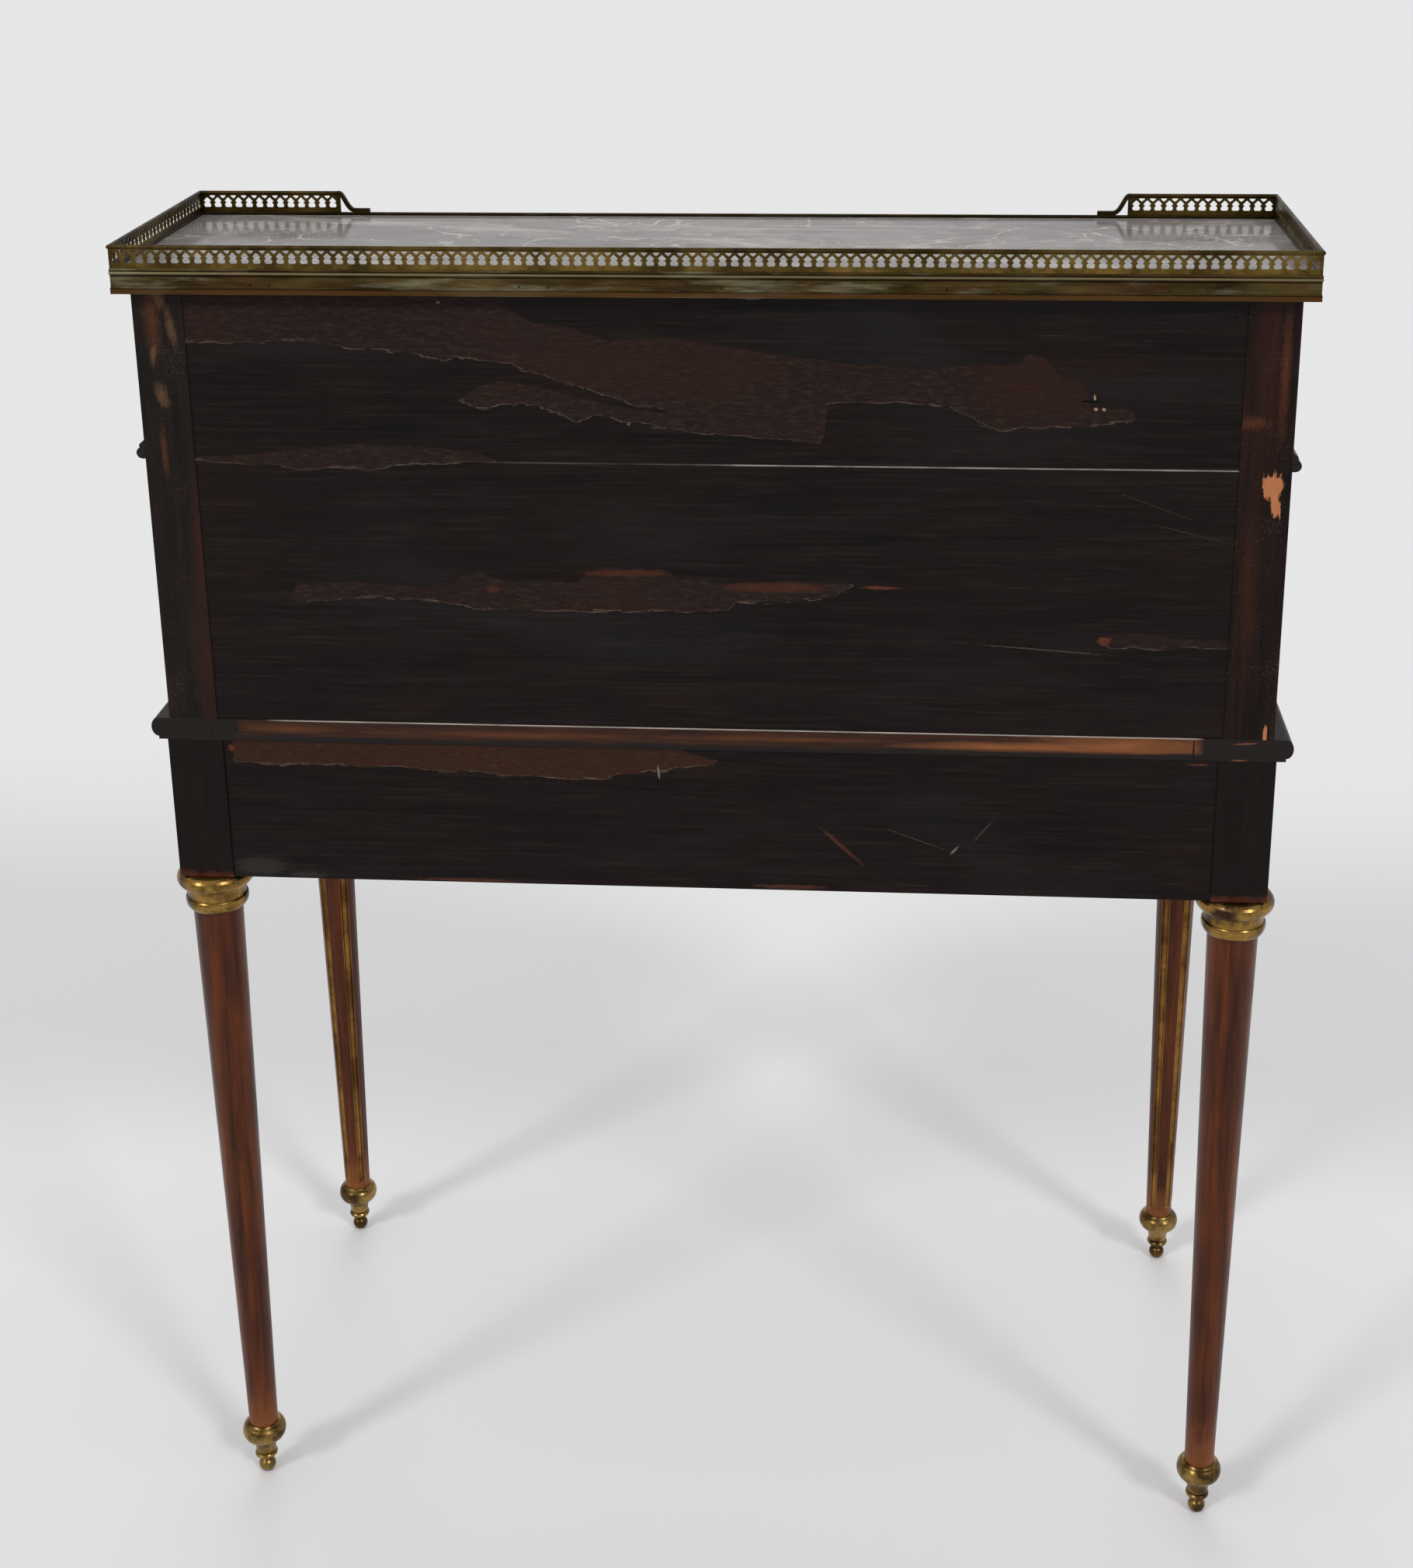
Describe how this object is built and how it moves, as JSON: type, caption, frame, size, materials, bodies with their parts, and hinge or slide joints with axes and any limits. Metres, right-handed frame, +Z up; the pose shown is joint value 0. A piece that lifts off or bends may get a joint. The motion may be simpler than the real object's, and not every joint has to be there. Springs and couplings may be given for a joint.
{
  "type": "bonheur du jour",
  "caption": "Small writing table on turned, brass-mounted legs: drawer and leather-lined slide under the top, raised back with drawers, cupboards, marble and pierced brass gallery.",
  "frame": {"origin": "on the floor, under the middle of the piece's width and depth", "axes": "+Z up, +Y towards the back, +X to the right of somebody who faces the front"},
  "size_m": [0.896, 0.4365, 1.1215],
  "materials": {
    "leg_wood": "waxed, worn pale near the feet",
    "frame_wood": "old ebonised finish, worn to brown at the edges",
    "top_wood": "old polish, brown where it is worn",
    "carcase_wood": "old polish",
    "back_boards": "near-black veneer, lost in places",
    "inner_wood": "matt",
    "front_wood": "old polish",
    "drawer_lining": "bare",
    "leather": "worn",
    "marble": "polished grey-mauve marble with pale veins",
    "leg_brass": "aged, with dark hollows",
    "gallery_brass": "aged, with dark hollows",
    "fitting_brass": "aged",
    "bolt_steel": "dull"
  },
  "bodies": {
    "carcase": {"leg_rear_left": "leg_wood", "leg_rear_right": "leg_wood", "leg_front_left": "leg_wood", "leg_front_right": "leg_wood", "leg_capitals": "leg_brass", "leg_sabots": "leg_brass", "flute_liners": "leg_brass", "corner_blocks": "frame_wood", "frieze_back": "frame_wood", "frieze_sides": "frame_wood", "front_rails": "frame_wood", "runners": "inner_wood", "table_field": "top_wood", "table_cleats": "top_wood", "upper_side_left": "carcase_wood", "upper_side_right": "carcase_wood", "back_stiles": "carcase_wood", "back_board_upper": "back_boards", "back_board_lower": "back_boards", "base_board": "inner_wood", "middle_board": "inner_wood", "top_board": "carcase_wood", "drawer_dividers": "inner_wood", "cupboard_partitions": "inner_wood", "belt_moulding": "carcase_wood", "hinge_fixed_leaves": "fitting_brass", "marble_top": "marble", "edge_band": "gallery_brass", "band_pins": "gallery_brass", "gallery_back": "gallery_brass", "gallery_sides": "gallery_brass", "gallery_rail": "gallery_brass"},
    "writing_slide": {"writing_slide": "front_wood", "slide_leather": "leather", "slide_knobs": "fitting_brass"},
    "long_drawer": {"long_drawer_front": "front_wood", "long_drawer_box": "drawer_lining", "long_drawer_rosettes": "fitting_brass", "long_drawer_lock": "fitting_brass"},
    "ring_left": {"ring_left": "fitting_brass"},
    "ring_right": {"ring_right": "fitting_brass"},
    "drawer_left": {"drawer_left_front": "front_wood", "drawer_left_box": "drawer_lining", "drawer_left_knob": "fitting_brass"},
    "drawer_centre": {"drawer_centre_front": "front_wood", "drawer_centre_box": "drawer_lining", "drawer_centre_knob": "fitting_brass"},
    "drawer_right": {"drawer_right_front": "front_wood", "drawer_right_box": "drawer_lining", "drawer_right_knob": "fitting_brass"},
    "door_left": {"door_left_frame": "front_wood", "door_left_panel": "front_wood", "door_left_hinges": "fitting_brass", "door_left_lock": "fitting_brass"},
    "door_right": {"door_right_frame": "front_wood", "door_right_panel": "front_wood", "door_right_hinges": "fitting_brass", "door_right_lock": "fitting_brass"},
    "door_bolt": {"door_bolt": "bolt_steel"},
    "door_key": {"door_key": "fitting_brass"}
  },
  "joints": [
    {"name": "slide_pull", "type": "slide", "parent": "carcase", "child": "writing_slide", "axis": [0, -1, 0], "range_m": [0, 0.23]},
    {"name": "long_drawer_pull", "type": "slide", "parent": "carcase", "child": "long_drawer", "axis": [0, -1, 0], "range_m": [0, 0.28]},
    {"name": "drawer_left_pull", "type": "slide", "parent": "carcase", "child": "drawer_left", "axis": [0, -1, 0], "range_m": [0, 0.13]},
    {"name": "drawer_centre_pull", "type": "slide", "parent": "carcase", "child": "drawer_centre", "axis": [0, -1, 0], "range_m": [0, 0.13]},
    {"name": "drawer_right_pull", "type": "slide", "parent": "carcase", "child": "drawer_right", "axis": [0, -1, 0], "range_m": [0, 0.13]},
    {"name": "ring_left_swing", "type": "hinge", "parent": "long_drawer", "child": "ring_left", "pos_m": [-0.235, -0.21275, 0.6719], "axis": [-1, 0, 0], "range_deg": [0, 95]},
    {"name": "ring_right_swing", "type": "hinge", "parent": "long_drawer", "child": "ring_right", "pos_m": [0.235, -0.21275, 0.6719], "axis": [-1, 0, 0], "range_deg": [0, 95]},
    {"name": "door_left_swing", "type": "hinge", "parent": "carcase", "child": "door_left", "pos_m": [-0.4101, -0.00925, 0.85275], "axis": [0, 0, -1], "range_deg": [0, 100]},
    {"name": "door_right_swing", "type": "hinge", "parent": "carcase", "child": "door_right", "pos_m": [0.4101, -0.00925, 0.85275], "axis": [0, 0, 1], "range_deg": [0, 100]},
    {"name": "key_turn", "type": "hinge", "parent": "door_right", "child": "door_key", "pos_m": [0.16363, -0.00625, 0.85275], "axis": [0, -1, 0], "range_deg": [0, 180]},
    {"name": "bolt_throw", "type": "slide", "parent": "door_right", "child": "door_bolt", "axis": [-1, 0, 0], "range_m": [0, 0.005]}
  ],
  "couplings": [
    {"joint": "key_turn", "follows": "bolt_throw", "rad_per_m": 628.3}
  ]
}
